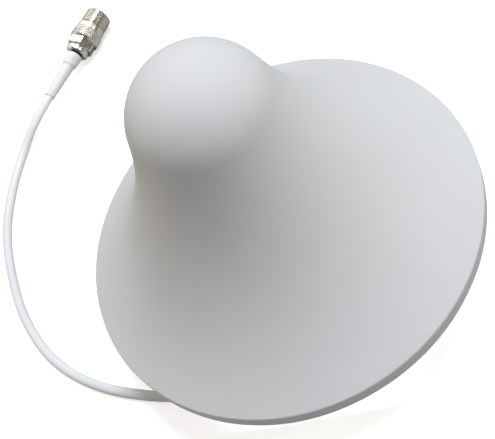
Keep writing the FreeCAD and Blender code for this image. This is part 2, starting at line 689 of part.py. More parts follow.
def make_jack_contact():
    """The centre contact: a split socket in front, a solder cup behind."""
    back = KNURL_START + 0.5
    front = JACK_END - CONTACT_SETBACK
    contact = rod(CONTACT_RADIUS, back, front)
    contact = contact.cut(rod(CONTACT_BORE_RADIUS, front - CONTACT_BORE_DEPTH, front + OVER))
    contact = contact.cut(rod(CONDUCTOR_RADIUS + LAYER_GAP, 0.0, back + CONTACT_CUP_DEPTH))
    saw_depth = CONTACT_BORE_DEPTH - 1.5
    for turn in (0, 90):
        saw = Part.makeBox(4 * CONTACT_RADIUS, CONTACT_SAW_WIDTH, saw_depth + OVER)
        saw.translate(FreeCAD.Vector(-2 * CONTACT_RADIUS, -CONTACT_SAW_WIDTH / 2,
                                     front - saw_depth))
        saw.rotate(ORIGIN, Z_AXIS, turn)
        contact = contact.cut(saw)
    save("jack_contact", lay_along_jack(contact))


os.makedirs("parts", exist_ok=True)
make_radome()
make_base_plate()
make_radome_screws()
make_threaded_stem()
make_cable_grommet()
make_mounting_hardware()
make_ground_plate()
make_radiator()
make_posts()
make_inner_cable()
make_feed()
make_signal_cord()
make_sleeves()
make_cord_end()
make_jack_rings()
make_jack_shell()
make_jack_contact()
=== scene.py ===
import json
import math

import bmesh
import bpy
from mathutils import Matrix, Quaternion, Vector


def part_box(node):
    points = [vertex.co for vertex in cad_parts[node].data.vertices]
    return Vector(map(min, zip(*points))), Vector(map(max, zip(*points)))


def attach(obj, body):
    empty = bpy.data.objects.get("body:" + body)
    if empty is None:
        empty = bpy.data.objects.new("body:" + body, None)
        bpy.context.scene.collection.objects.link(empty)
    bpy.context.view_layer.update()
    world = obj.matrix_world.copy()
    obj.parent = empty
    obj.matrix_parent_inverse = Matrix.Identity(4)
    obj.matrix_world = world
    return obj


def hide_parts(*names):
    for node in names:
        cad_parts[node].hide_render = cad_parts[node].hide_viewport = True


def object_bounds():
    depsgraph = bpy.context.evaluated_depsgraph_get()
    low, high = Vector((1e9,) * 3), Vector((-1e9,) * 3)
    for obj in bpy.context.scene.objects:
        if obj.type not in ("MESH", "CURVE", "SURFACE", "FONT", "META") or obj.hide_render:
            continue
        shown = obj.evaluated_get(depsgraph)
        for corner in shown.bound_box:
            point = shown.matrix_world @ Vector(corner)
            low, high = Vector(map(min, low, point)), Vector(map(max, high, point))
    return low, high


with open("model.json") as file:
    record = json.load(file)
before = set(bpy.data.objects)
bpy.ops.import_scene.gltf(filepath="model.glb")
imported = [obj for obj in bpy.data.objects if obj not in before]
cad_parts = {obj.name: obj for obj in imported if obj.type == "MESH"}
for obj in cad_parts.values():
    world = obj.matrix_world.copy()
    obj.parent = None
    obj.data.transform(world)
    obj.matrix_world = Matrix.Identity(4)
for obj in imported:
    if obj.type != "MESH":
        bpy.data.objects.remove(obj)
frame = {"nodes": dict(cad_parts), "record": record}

# Indoor ceiling dome antenna with its coaxial pigtail.  Blender works in metres; outlines
# below are written in millimetres, and MM turns them into metres.  The order is: camera and
# cable, drawn pieces, materials, then floor and lights.
MM = 0.001
FULL_TURN = 2 * math.pi

cad_low, cad_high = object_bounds()
FLOOR_Z = cad_low.z

# ---- camera and the cable's route: these come first ------------------------------------

CAMERA_AZIMUTH = math.radians(57.87)
CAMERA_ELEVATION = math.radians(52.885)
CAMERA_ROLL = math.radians(-36.46)
CAMERA_AIM = Vector((-11.6, -4.65, 12.7)) * MM
CAMERA_DISTANCE = 454.9 * MM
CAMERA_LENS = 72.73             # lens and sensor are in millimetres
CAMERA_SENSOR = 36.0

CABLE_RADIUS = 2.5 * MM
CABLE_Z = FLOOR_Z + CABLE_RADIUS + 0.02 * MM    # a hair above the floor
JACK_X = -0.197
JACK_Z = FLOOR_Z + 9.0 * MM                     # the jack lies on its knurled ring
SLEEVE_TAIL_Y = 0.0512
CABLE_ROUTE = [
    (0.0, -0.0138, CABLE_Z),
    (0.0, -0.045, CABLE_Z),
    (-0.015, -0.0785, CABLE_Z),
    (-0.036, -0.088, CABLE_Z),
    (-0.071, -0.095, CABLE_Z),
    (-0.104, -0.0913, CABLE_Z),
    (-0.1325, -0.0773, CABLE_Z),
    (-0.155, -0.059, CABLE_Z),
    (-0.1773, -0.035, CABLE_Z),
    (-0.191, -0.008, CABLE_Z),
    (-0.198, 0.014, CABLE_Z),
    (JACK_X, 0.034, JACK_Z),
    (JACK_X, SLEEVE_TAIL_Y, JACK_Z),
]

# ---- sizes of the drawn detail, in millimetres -------------------------------------------

STEM_RADIUS = 13.0
STEM_BORE = 9.5
STEM_FLANGE = 21.0
STEM_FLANGE_HEIGHT = 2.05
STEM_PITCH = 2.0
STEM_THREAD_DEPTH = 0.8
STEM_SCREW_HOLE = 1.4
STEM_SCREW_CIRCLE = 17.2
NOTCH_HALF_WIDTH = 4.3
WASHER_GROOVES = (21.0, 18.5, 16.0)
NUT_RADIUS = 19.5
NUT_GRIP_HEIGHT = 1.5
NUT_GRIP_COUNT = 12
NUT_CLEARANCE = 0.16
JACK_THREAD_PITCH = 25.4 / 24
JACK_THREAD_DEPTH = 0.65
KNURL_COUNT = 46
KNURL_DEPTH = 0.3
SLEEVE_WAVES = 0.05
SAME_RADIUS = 0.01      # points closer in radius than this lie on the same surface
WELD = 0.02             # points closer than this are one point once a piece has been cut

# stations along the jack, from the tail of its first sleeve
TAPER_SLEEVE_END = 25.6
WIDE_SLEEVE_START = 23.2
WIDE_SLEEVE_END = 31.0
BACK_RING_START = 32.2
BACK_GROOVE_START = 35.3
HEX_START = 36.2
KNURL_START = 41.6
NECK_START = 48.4
THREAD_START = 52.0
JACK_END = 62.1
HEX_ACROSS_FLATS = 15.0
HEX_TURN = math.radians(3.3)


def add_to_scene(name, data):
    thing = bpy.data.objects.new(name, data)
    bpy.context.scene.collection.objects.link(thing)
    return thing


def make_camera():
    """It looks at CAMERA_AIM from the front, right and above, and is rolled to one side."""
    back = Vector((math.sin(CAMERA_AZIMUTH) * math.cos(CAMERA_ELEVATION),
                   -math.cos(CAMERA_AZIMUTH) * math.cos(CAMERA_ELEVATION),
                   math.sin(CAMERA_ELEVATION)))
    data = bpy.data.cameras.new("camera")
    data.lens = CAMERA_LENS
    data.sensor_width = CAMERA_SENSOR
    camera = add_to_scene("camera", data)
    camera.location = CAMERA_AIM + back * CAMERA_DISTANCE
    camera.rotation_mode = "QUATERNION"
    aimed = (-back).to_track_quat("-Z", "Y")
    camera.rotation_quaternion = aimed @ Quaternion((0, 0, 1), CAMERA_ROLL)
    bpy.context.scene.camera = camera


def make_cable():
    """The free cable: one smooth line from the stem's notch to the first sleeve."""
    curve = bpy.data.curves.new("signal_cable", "CURVE")
    curve.dimensions = "3D"
    curve.resolution_u = 24
    spline = curve.splines.new("NURBS")
    spline.points.add(len(CABLE_ROUTE) - 1)
    for point, place in zip(spline.points, CABLE_ROUTE):
        point.co = (*place, 1.0)
    spline.order_u = 3
    spline.use_endpoint_u = True
    curve.bevel_depth = CABLE_RADIUS
    curve.bevel_resolution = 8
    curve.use_fill_caps = True
    return add_to_scene("signal_cable", curve)


make_camera()
cable = make_cable()


# ---- mesh helpers ------------------------------------------------------------------------

def smooth(mesh, sharp_angle):
    """Shade it smooth, apart from edges sharper than that many degrees."""
    mesh.shade_smooth()
    mesh.set_sharp_from_angle(angle=math.radians(sharp_angle))


def new_piece(name, vertices, faces, sharp_angle=40.0):
    """A smooth-shaded mesh piece from points in millimetres."""
    mesh = bpy.data.meshes.new(name)
    mesh.from_pydata([tuple(value * MM for value in vertex) for vertex in vertices], [], faces)
    smooth(mesh, sharp_angle)
    return add_to_scene(name, mesh)


def rounded(outline, steps=5):
    """Round the corners of a closed outline; each corner is (radius, height, rounding).

    A corner keeps rounding 0 where its neighbour in the list isn't its real neighbour."""
    points = []
    for number, (radius, height, rounding) in enumerate(outline):
        corner = Vector((radius, height))
        if not rounding:
            points.append((radius, height))
            continue
        back = (Vector(outline[number - 1][:2]) - corner).normalized()
        ahead = (Vector(outline[(number + 1) % len(outline)][:2]) - corner).normalized()
        reach = rounding / math.tan(back.angle(ahead) / 2)
        first = corner + back * reach
        last = corner + ahead * reach
        for step in range(steps + 1):
            share = step / steps
            point = first.lerp(corner, share).lerp(corner.lerp(last, share), share)
            points.append((point.x, point.y))
    return points


def divided(first, last, count):
    """Points from first to last, both kept, with count equal steps."""
    return [(first[0] + (last[0] - first[0]) * step / count,
             first[1] + (last[1] - first[1]) * step / count) for step in range(count + 1)]


def turned(name, section, segments=128, relief=None, sharp_angle=40.0):
    """A ring turned about Z.  The section is closed: up its outside and down its bore.

    relief(turn, radius, height) is what the surface stands proud there, in millimetres."""
    vertices = []
    for radius, height in section:
        for step in range(segments):
            turn = FULL_TURN * step / segments
            proud = relief(turn, radius, height) if relief else 0.0
            vertices.append(((radius + proud) * math.cos(turn),
                             (radius + proud) * math.sin(turn), height))
    faces = []
    rows = len(section)
    for row in range(rows):
        here = row * segments
        above = (row + 1) % rows * segments
        for step in range(segments):
            beside = (step + 1) % segments
            faces.append((here + step, here + beside, above + beside, above + step))
    return new_piece(name, vertices, faces, sharp_angle)


def ramp(value, low, high):
    """0 at low, 1 at high, and smooth between them."""
    share = min(1.0, max(0.0, (value - low) / (high - low)))
    return share * share * (3 - 2 * share)


def thread_relief(turn, height, pitch, depth):
    """A right-handed thread: 0 on the crest and -depth at the root, both with a flat."""
    flat = 0.18
    phase = (height / pitch - turn / FULL_TURN) % 1.0
    climb = (abs(2 * phase - 1) - flat) / (1 - 2 * flat)
    return -depth * (1 - min(1.0, max(0.0, climb)))


def cut(piece, *cutters):
    """Cut the cutters out of the piece for good, and close the cracks that this leaves."""
    for cutter in cutters:
        modifier = piece.modifiers.new("cut", "BOOLEAN")
        modifier.operation = "DIFFERENCE"
        modifier.solver = "EXACT"
        modifier.object = cutter
    ready = piece.evaluated_get(bpy.context.evaluated_depsgraph_get())
    mesh = bpy.data.meshes.new_from_object(ready)
    whole = bmesh.new()
    whole.from_mesh(mesh)
    bmesh.ops.remove_doubles(whole, verts=whole.verts, dist=WELD * MM)
    bmesh.ops.holes_fill(whole, edges=whole.edges, sides=4)
    bmesh.ops.triangulate(whole, faces=[face for face in whole.faces if len(face.verts) > 4])
    whole.to_mesh(mesh)
    whole.free()
    piece.modifiers.clear()
    piece.data = mesh
    smooth(mesh, 30.0)
    for cutter in cutters:
        bpy.data.objects.remove(cutter)


def prism(name, outline, low, high):
    """A plug with a constant outline of (x, y) points, from height low to height high."""
    count = len(outline)
    vertices = [(x, y, low) for x, y in outline] + [(x, y, high) for x, y in outline]
    faces = [tuple(range(count - 1, -1, -1)), tuple(range(count, 2 * count))]
    for step in range(count):
        beside = (step + 1) % count
        faces.append((step, beside, count + beside, count + step))
    return new_piece(name, vertices, faces)


def circle(radius, count, x=0.0, y=0.0):
    """The outline of a round plug that stands at x, y."""
    return [(x + radius * math.cos(FULL_TURN * step / count),
             y + radius * math.sin(FULL_TURN * step / count)) for step in range(count)]


# ---- stem, washer and nut ----------------------------------------------------------------

def arch_cutter():
    """The cable's notch: an arch, open downwards, across the -Y wall of the stem."""
    centre, below, steps = CABLE_Z / MM, FLOOR_Z / MM - 2.0, 24
    arch = [(NOTCH_HALF_WIDTH * math.cos(math.pi * step / steps),
             centre + NOTCH_HALF_WIDTH * math.sin(math.pi * step / steps))
            for step in range(steps + 1)]
    arch += [(-NOTCH_HALF_WIDTH, below), (NOTCH_HALF_WIDTH, below)]
    cutter = prism("notch_cutter", arch, 5.0, STEM_RADIUS + 2.0)
    cutter.data.transform(Matrix.Rotation(math.pi / 2, 4, "X"))
    return cutter


def make_stem():
    """A flanged, threaded tube with the cable's notch and three holes for its screws."""
    low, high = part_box("threaded_stem")
    bottom, top = low.z / MM, high.z / MM
    flange_bottom = top - STEM_FLANGE_HEIGHT
    thread_low, thread_high = bottom + 0.9, -0.4
    outer = divided((STEM_RADIUS, thread_low), (STEM_RADIUS, thread_high), 176)
    section = [(STEM_BORE + 0.5, bottom), (STEM_RADIUS - 0.9, bottom)] + outer
    section += rounded([(STEM_RADIUS, flange_bottom, 0), (STEM_FLANGE, flange_bottom, 0),
                        (STEM_FLANGE, top, 0.3), (STEM_BORE, top, 0.3),
                        (STEM_BORE, bottom + 0.5, 0)])

    def thread(turn, radius, height):
        if radius < STEM_RADIUS - SAME_RADIUS or not thread_low <= height <= thread_high:
            return 0.0
        fade = ramp(height, thread_low - 1.0, thread_low + 0.6)
        fade *= ramp(-height, -thread_high, 2.0)
        return thread_relief(turn, height, STEM_PITCH, STEM_THREAD_DEPTH * fade)

    stem = turned("threaded_stem_mesh", section, 120, thread)
    holes = []
    for turn in (0, FULL_TURN / 3, -FULL_TURN / 3):
        outline = circle(STEM_SCREW_HOLE, 24, STEM_SCREW_CIRCLE * math.cos(turn),
                         STEM_SCREW_CIRCLE * math.sin(turn))
        holes.append(prism("hole_cutter", outline, flange_bottom - 1.0, top + 1.0))
    cut(stem, arch_cutter(), *holes)
    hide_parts("threaded_stem")
    return stem


def make_washer():
    """A rubber ring with three shallow grip grooves on its ceiling side."""
    low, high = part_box("mounting_washer")
    bottom, top = low.z / MM, high.z / MM
    outer, bore = high.x / MM, STEM_RADIUS + 0.15
    section = rounded([(bore, bottom, 0.25), (outer, bottom, 0.55), (outer, top, 0.55)])
    for radius in WASHER_GROOVES:
        section += [(radius + 0.5, top), (radius + 0.2, top - 0.3),
                    (radius - 0.2, top - 0.3), (radius - 0.5, top)]
    section.append((bore, top))
    washer = turned("mounting_washer_mesh", section, 120)
    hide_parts("mounting_washer")
    return washer


def make_nut():
    """A flat round nut with grips round it, whose thread runs in step with the stem's."""
    low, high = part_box("mounting_nut")
    bottom, top = low.z / MM, high.z / MM
    bore = STEM_RADIUS + NUT_CLEARANCE
    section = rounded([(bore + 1.4, bottom, 0), (NUT_RADIUS, bottom, 0.9),
                       (NUT_RADIUS, top, 0.5), (bore + 0.9, top, 0)], 6)
    section += divided((bore, top - 0.9), (bore, bottom + 0.9), 60)
    period = FULL_TURN / NUT_GRIP_COUNT

    def relief(turn, radius, height):
        if radius <= bore + SAME_RADIUS:
            return thread_relief(turn, height, STEM_PITCH, STEM_THREAD_DEPTH)
        if radius < bore + 2.0:
            return 0.0
        off_grip = abs((turn + period / 2) % period - period / 2) / period
        grip = 1 - ramp(off_grip, 0.14, 0.24)
        rim = ramp(radius, NUT_RADIUS - 1.2, NUT_RADIUS)
        return NUT_GRIP_HEIGHT * grip * rim

    nut = turned("mounting_nut_mesh", section, 288, relief)
    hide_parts("mounting_nut")
    return nut


# ---- jack and sleeves: turned about Z from the first sleeve's tail, then laid along +Y ---

def lay_along_jack(piece):
    tail = Matrix.Translation((JACK_X, SLEEVE_TAIL_Y, JACK_Z))
    piece.data.transform(tail @ Matrix.Rotation(-math.pi / 2, 4, "X"))
    return piece


def waves(turn, height, size, seed):
    """A gentle unevenness of a shrunk sleeve."""
    return size * (math.sin(2 * turn + 0.7 * height + seed) * 0.5
                   + math.sin(3 * turn - 0.45 * height + 2 * seed) * 0.3
                   + math.sin(1.3 * height + seed) * 0.4)


def make_taper_sleeve():
    """The long sleeve, with a ring at its tail; its front end is inside the wide sleeve."""
    tail, front = 2.95, 3.65
    bore = CABLE_RADIUS / MM + 0.02
    length = WIDE_SLEEVE_START
    section = [(bore, 0.0), (tail, 0.0), (3.12, 0.25), (3.16, 0.6), (3.14, 1.1), (3.0, 1.6)]
    section += divided((tail + 0.04, 2.2), (front, length), 40)
    section += [(front, TAPER_SLEEVE_END), (bore, TAPER_SLEEVE_END)]

    def relief(turn, radius, height):
        if radius < bore + 0.1:
            return 0.0
        fade = ramp(height, 0.5, 4.0)
        return (waves(turn, height, SLEEVE_WAVES, 1.0) * fade
                * ramp(-height, -length - 1, -length + 1))

    sleeve = lay_along_jack(turned("taper_sleeve_mesh", section, 64, relief))
    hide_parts("taper_sleeve")
    return sleeve


def make_wide_sleeve():
    """The short sleeve over the jack's crimp, drawn in at both ends."""
    tail, shoulder = 4.3, 4.85
    bore = 3.7
    section = [(bore, WIDE_SLEEVE_START), (3.95, WIDE_SLEEVE_START),
               (4.1, WIDE_SLEEVE_START + 0.2), (4.18, WIDE_SLEEVE_START + 0.6)]
    section += divided((tail, WIDE_SLEEVE_START + 1.6), (shoulder, WIDE_SLEEVE_END - 1.6), 16)
    section += [(shoulder + 0.03, WIDE_SLEEVE_END - 0.8),
                (shoulder - 0.05, WIDE_SLEEVE_END - 0.2),
                (shoulder - 0.3, WIDE_SLEEVE_END), (bore, WIDE_SLEEVE_END)]

    def relief(turn, radius, height):
        if radius < bore + 0.2:
            return 0.0
        return waves(turn, height, SLEEVE_WAVES, 2.4)

    sleeve = lay_along_jack(turned("wide_sleeve_mesh", section, 64, relief))
    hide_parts("wide_sleeve")
    return sleeve


def make_back_ring():
    """A chamfered ring, with a groove between it and the hexagon."""
    bore, groove, outer = 2.55, 6.1, 6.8
    section = rounded([(bore, BACK_RING_START, 0), (groove, BACK_RING_START, 0.25),
                       (outer, BACK_RING_START + 0.7, 0.3), (outer, BACK_GROOVE_START, 0.15),
                       (groove, BACK_GROOVE_START + 0.05, 0.1), (groove, HEX_START, 0),
                       (bore, HEX_START, 0)])
    ring = lay_along_jack(turned("jack_back_ring_mesh", section, 128))
    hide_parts("jack_back_ring")
    return ring


def make_hex_nut():
    """A hexagonal ring whose corners are turned down at both ends, as on a bar-turned nut."""
    flat = HEX_ACROSS_FLATS / 2
    corner = flat / math.cos(math.pi / 6)
    bore = 6.05
    edge = 0.22             # what the turned outside takes off each corner
    limits = [(corner - 1.15, HEX_START), (corner - 0.35, HEX_START + 0.45),
              (corner + 0.2, HEX_START + 0.95), (corner + 0.2, KNURL_START - 0.8),
              (corner - 0.35, KNURL_START - 0.35), (corner - 1.0, KNURL_START)]
    section = [(bore, HEX_START)]
    for first, last in zip(limits, limits[1:]):
        section += divided(first, last, 4)[:-1]
    section += [limits[-1], (bore, KNURL_START)]
    sixth = math.pi / 3

    def relief(turn, radius, height):
        if radius < bore + 0.1:
            return 0.0
        off_flat = (turn - HEX_TURN) % sixth - sixth / 2
        hexagon = min(flat / math.cos(off_flat), corner - edge)
        return min(radius, hexagon) - radius

    nut = lay_along_jack(turned("jack_hex_nut_mesh", section, 240, relief, 24.0))
    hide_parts("jack_hex_nut")
    return nut


def make_knurled_ring():
    """The widest ring, its diamonds made by two crossing sets of grooves."""
    outer, bore, edge = 9.0, 6.05, 0.55
    low, high = KNURL_START + edge, NECK_START - edge
    section = [(bore, KNURL_START), (outer - edge - 0.15, KNURL_START),
               (outer - edge + 0.1, KNURL_START + 0.1)]
    section += divided((outer, low), (outer, high), 66)
    section += [(outer - edge + 0.1, NECK_START - 0.1), (outer - edge - 0.15, NECK_START),
                (bore, NECK_START)]
    slope = KNURL_COUNT / (FULL_TURN * outer)

    def relief(turn, radius, height):
        if radius < outer - SAME_RADIUS:
            return 0.0
        around = KNURL_COUNT * turn / FULL_TURN
        along = slope * height
        one = abs(2 * ((around + along) % 1.0) - 1)
        two = abs(2 * ((around - along) % 1.0) - 1)
        fade = ramp(height, low, low + 0.5) * ramp(-height, -high, -high + 0.5)
        return -KNURL_DEPTH * fade * max(one, two) ** 2

    ring = turned("jack_knurled_ring_mesh", section, KNURL_COUNT * 10, relief, 60.0)
    lay_along_jack(ring)
    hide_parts("jack_knurled_ring")
    return ring


def make_shell():
    """The jack's threaded body, with its neck, socket and the spigot that carries the rings."""
    crest = 7.94
    groove_end = THREAD_START + 0.55
    tip = JACK_END - 0.8
    bore, socket, stub, spigot = 1.5, 4.3, 2.5, 6.0
    neck, groove = 8.2, 7.25
    stub_start = BACK_RING_START + 0.2
    spigot_start, neck_start = HEX_START + 0.02, NECK_START + 0.02
    section = [(bore, stub_start), (stub, stub_start), (stub, spigot_start),
               (spigot, spigot_start), (spigot, neck_start)]
    section += rounded([(spigot, neck_start, 0), (neck, neck_start, 0.3),
                        (neck, THREAD_START - 0.1, 0.3), (groove, THREAD_START, 0.1),
                        (groove, groove_end, 0)])[1:]
    section += divided((crest, groove_end + 0.3), (crest, tip), 108)
    section += rounded([(crest, tip, 0), (7.1, JACK_END, 0.15), (5.2, JACK_END, 0.15),
                        (socket, JACK_END - 0.9, 0.2), (socket, KNURL_START, 0),
                        (bore, KNURL_START, 0)])[1:]

    def thread(turn, radius, height):
        if radius < crest - SAME_RADIUS or not groove_end < height <= tip + 0.01:
            return 0.0
        fade = ramp(height, groove_end - 0.4, groove_end + 0.9)
        fade *= ramp(-height, -tip - 0.3, -tip + 0.3)
        return thread_relief(turn, height, JACK_THREAD_PITCH, JACK_THREAD_DEPTH * fade)

    shell = lay_along_jack(turned("jack_shell_mesh", section, 128, thread, 50.0))
    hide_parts("jack_shell")
    return shell


stem = make_stem()
washer = make_washer()
nut = make_nut()
taper_sleeve = make_taper_sleeve()
wide_sleeve = make_wide_sleeve()
back_ring = make_back_ring()
hex_nut = make_hex_nut()
knurled_ring = make_knurled_ring()
shell = make_shell()


# ---- materials ---------------------------------------------------------------------------

BACKDROP = 1.0          # the world's strength as the camera sees it
AMBIENT = 0.06          # and as the pieces see it
FLOOR_GLOW = 0.55       # the floor's own light round the part, seen by the camera only
GLOW_STARTS = 0.3       # metres from the middle where it starts to grow,
GLOW_FULL = 1.2         # and where it has reached the backdrop's white
FLOOR_BOUNCE = 0.55     # share of its colour that the floor throws back on the part


class Finish:
    """A procedural material: each method adds one layer of detail to its shader."""

    def __init__(self, name, roughness, metallic=0.0, **sockets):
        self.material = bpy.data.materials.new(name)
        self.material.use_nodes = True
        self.nodes = self.material.node_tree.nodes
        self.links = self.material.node_tree.links
        self.shader = self.nodes["Principled BSDF"]
        self.shader.inputs["Metallic"].default_value = metallic
        self.shader.inputs["Roughness"].default_value = roughness
        for socket, value in sockets.items():
            self.shader.inputs[socket.replace("_", " ")].default_value = value
        self.place = self.nodes.new("ShaderNodeTexCoord").outputs["Object"]
        self.normal = None

    def noise(self, grain_mm, detail=3.0):
        """Noise whose grain is about that many millimetres across."""
        noise = self.nodes.new("ShaderNodeTexNoise")
        noise.inputs["Scale"].default_value = 1.0 / (grain_mm * MM)
        noise.inputs["Detail"].default_value = detail
        self.links.new(self.place, noise.inputs["Vector"])
        return noise.outputs["Fac"]

    def bands(self, spacing_mm, axis, kind="BANDS"):
        """Uneven stripes or rings, that many millimetres apart."""
        wave = self.nodes.new("ShaderNodeTexWave")
        wave.wave_type = kind
        if kind == "BANDS":
            wave.bands_direction = axis
        else:
            wave.rings_direction = axis
        # a wave texture repeats every pi / 10 of a unit at scale 1
        wave.inputs["Scale"].default_value = math.pi / 10 / (spacing_mm * MM)
        wave.inputs["Distortion"].default_value = 0.4
        self.links.new(self.place, wave.inputs["Vector"])
        return wave.outputs["Fac"]

    def spread(self, source, low, high):
        """Map the middle of a noise's span onto low to high."""
        node = self.nodes.new("ShaderNodeMapRange")
        node.inputs["From Min"].default_value = 0.3
        node.inputs["From Max"].default_value = 0.7
        node.inputs["To Min"].default_value = low
        node.inputs["To Max"].default_value = high
        self.links.new(source, node.inputs["Value"])
        return node.outputs["Result"]

    def colour(self, source, dark, light):
        """A base colour that wanders between two."""
        node = self.nodes.new("ShaderNodeMix")
        node.data_type = "RGBA"
        node.inputs["A"].default_value = (*dark, 1.0)
        node.inputs["B"].default_value = (*light, 1.0)
        self.links.new(self.spread(source, 0.0, 1.0), node.inputs["Factor"])
        self.links.new(node.outputs["Result"], self.shader.inputs["Base Color"])

    def rough(self, source, low, high):
        """A roughness that wanders between two."""
        self.links.new(self.spread(source, low, high), self.shader.inputs["Roughness"])

    def bump(self, source, height_mm):
        """One more layer of relief, on top of the layers before it."""
        node = self.nodes.new("ShaderNodeBump")
        node.inputs["Distance"].default_value = height_mm * MM
        self.links.new(source, node.inputs["Height"])
        if self.normal:
            self.links.new(self.normal, node.inputs["Normal"])
        self.normal = node.outputs["Normal"]
        self.links.new(self.normal, self.shader.inputs["Normal"])
        return self


def white_plastic():
    finish = Finish("white_plastic", 0.68, IOR=1.5, Specular_IOR_Level=0.2)
    finish.colour(finish.noise(38.0), (0.69, 0.69, 0.69), (0.71, 0.71, 0.71))
    finish.rough(finish.noise(9.0), 0.64, 0.72)
    return finish.bump(finish.noise(0.45, 2.0), 0.006).material


def base_plastic():
    finish = Finish("base_plastic", 0.5, IOR=1.5)
    finish.colour(finish.noise(22.0), (0.67, 0.67, 0.665), (0.70, 0.70, 0.695))
    finish.rough(finish.noise(6.0), 0.46, 0.56)
    return finish.bump(finish.noise(0.7, 3.0), 0.02).material


def grey_rubber():
    finish = Finish("grey_rubber", 0.7, IOR=1.5)
    finish.colour(finish.noise(5.0), (0.36, 0.36, 0.355), (0.43, 0.43, 0.42))
    finish.rough(finish.noise(2.0), 0.6, 0.8)
    return finish.bump(finish.noise(0.5), 0.02).material


def zinc_screw():
    finish = Finish("zinc_screw", 0.3, 1.0)
    finish.colour(finish.noise(1.5), (0.58, 0.6, 0.63), (0.72, 0.73, 0.74))
    finish.rough(finish.noise(0.8), 0.22, 0.38)
    return finish.bump(finish.noise(0.25), 0.008).material


def aluminium_sheet():
    finish = Finish("aluminium_sheet", 0.32, 1.0)
    finish.colour(finish.noise(30.0, 4.0), (0.72, 0.73, 0.74), (0.82, 0.83, 0.84))
    finish.rough(finish.noise(4.0), 0.26, 0.4)
    return finish.bump(finish.bands(0.5, "Z", "RINGS"), 0.006).material


def nylon():
    finish = Finish("nylon", 0.42, Subsurface_Weight=0.15, Subsurface_Scale=0.002)
    finish.colour(finish.noise(3.0), (0.8, 0.78, 0.71), (0.86, 0.84, 0.78))
    finish.rough(finish.noise(1.5), 0.36, 0.5)
    return finish.bump(finish.bands(0.3, "Z"), 0.006).material


def brass():
    finish = Finish("brass", 0.25, 1.0)
    finish.colour(finish.noise(4.0), (0.66, 0.49, 0.2), (0.78, 0.6, 0.28))
    finish.rough(finish.noise(1.5), 0.18, 0.34)
    return finish.bump(finish.bands(0.2, "Z"), 0.004).material


def cable_jacket():
    finish = Finish("cable_jacket", 0.4, IOR=1.5)
    finish.colour(finish.noise(14.0), (0.82, 0.82, 0.815), (0.85, 0.85, 0.845))
    finish.rough(finish.noise(4.0), 0.34, 0.46)
    return finish.bump(finish.noise(0.9, 2.0), 0.015).material


def white_sleeve():
    finish = Finish("white_sleeve", 0.48, IOR=1.5)
    finish.colour(finish.noise(5.0), (0.74, 0.74, 0.74), (0.80, 0.80, 0.795))
    finish.rough(finish.noise(2.0), 0.42, 0.56)
    finish.bump(finish.noise(2.2, 2.0), 0.10)
    return finish.bump(finish.noise(0.4, 2.0), 0.012).material


def tinned_copper():
    finish = Finish("tinned_copper", 0.3, 1.0)
    finish.colour(finish.noise(0.6), (0.55, 0.52, 0.49), (0.74, 0.72, 0.69))
    finish.rough(finish.noise(0.4), 0.24, 0.42)
    finish.bump(finish.bands(0.3, "DIAGONAL"), 0.05)
    return finish.bump(finish.bands(0.34, "Y"), 0.03).material


def ptfe():
    finish = Finish("ptfe", 0.5, Subsurface_Weight=0.2, Subsurface_Scale=0.002)
    finish.colour(finish.noise(3.0), (0.82, 0.82, 0.81), (0.88, 0.88, 0.87))
    finish.rough(finish.noise(1.0), 0.44, 0.56)
    return finish.bump(finish.bands(0.25, "Y"), 0.003).material


def nickel():
    finish = Finish("nickel", 0.28, 1.0)
    finish.colour(finish.noise(3.0), (0.62, 0.60, 0.54), (0.72, 0.70, 0.64))
    finish.rough(finish.noise(1.2), 0.22, 0.34)
    finish.bump(finish.noise(2.5, 2.0), 0.008)
    return finish.bump(finish.noise(0.18, 2.0), 0.003).material


# painted shade: the crimp ferrule is coloured near black so that the narrow gap between the
# wide sleeve and the back ring, where it shows, reads as a dark shadowed band
def black_ferrule():
    finish = Finish("black_ferrule", 0.45, 1.0)
    finish.colour(finish.noise(1.5), (0.03, 0.03, 0.03), (0.06, 0.058, 0.055))
    finish.rough(finish.noise(0.7), 0.38, 0.52)
    return finish.bump(finish.bands(0.2, "Y"), 0.004).material


def gold_contact():
    finish = Finish("gold_contact", 0.2, 1.0)
    finish.colour(finish.noise(1.0), (0.8, 0.57, 0.22), (0.9, 0.68, 0.3))
    finish.rough(finish.noise(0.5), 0.14, 0.28)
    return finish.bump(finish.bands(0.15, "Y"), 0.003).material


def light_path_switch(tree, ray, low, high):
    """A number that is high for the light path's kind of ray, and low for the others."""
    kind = tree.nodes.new("ShaderNodeLightPath").outputs[ray]
    number = tree.nodes.new("ShaderNodeMapRange")
    number.inputs["To Min"].default_value = low
    number.inputs["To Max"].default_value = high
    tree.links.new(kind, number.inputs["Value"])
    return number.outputs["Result"]


